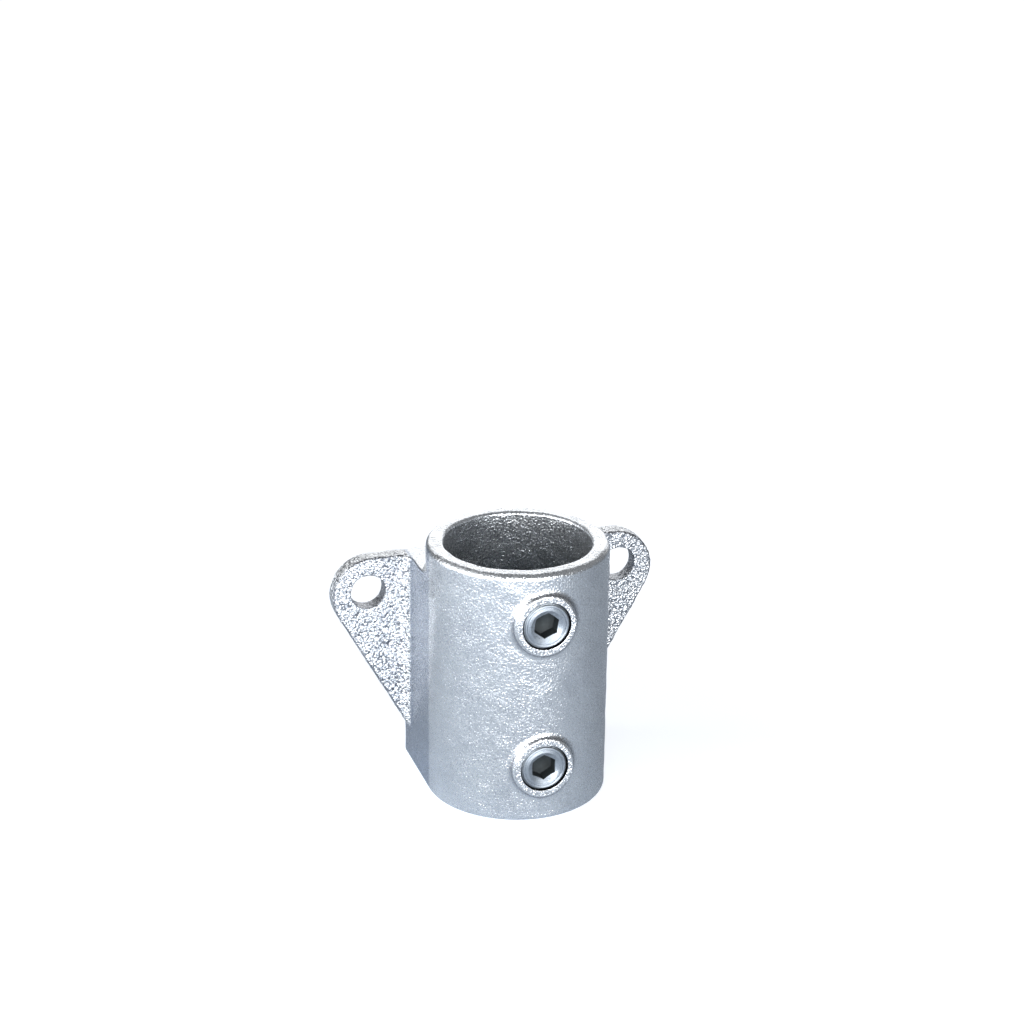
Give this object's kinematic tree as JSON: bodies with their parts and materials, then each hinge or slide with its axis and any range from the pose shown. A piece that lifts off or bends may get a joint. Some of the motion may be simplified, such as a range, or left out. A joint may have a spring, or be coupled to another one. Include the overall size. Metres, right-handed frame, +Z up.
{
  "type": "tube wall bracket",
  "caption": "Cast bracket that holds a vertical tube against a wall: a through socket with set screws in front and a bolt ear on each side of a flat back.",
  "frame": {"origin": "on the bore axis, in the plane of the barrel's bottom end", "axes": "+Z up along the tube, +Y from the bore axis to the wall face, +X along the wall; the set screws enter from -Y"},
  "size_m": [0.1158, 0.0632, 0.09],
  "materials": {
    "galvanised_casting": "hot-dip galvanised, as cast",
    "plated_steel": "turned and zinc plated"
  },
  "bodies": {
    "root": {"bracket_casting": "galvanised_casting", "upper_set_screw": "plated_steel", "lower_set_screw": "plated_steel"}
  },
  "joints": []
}
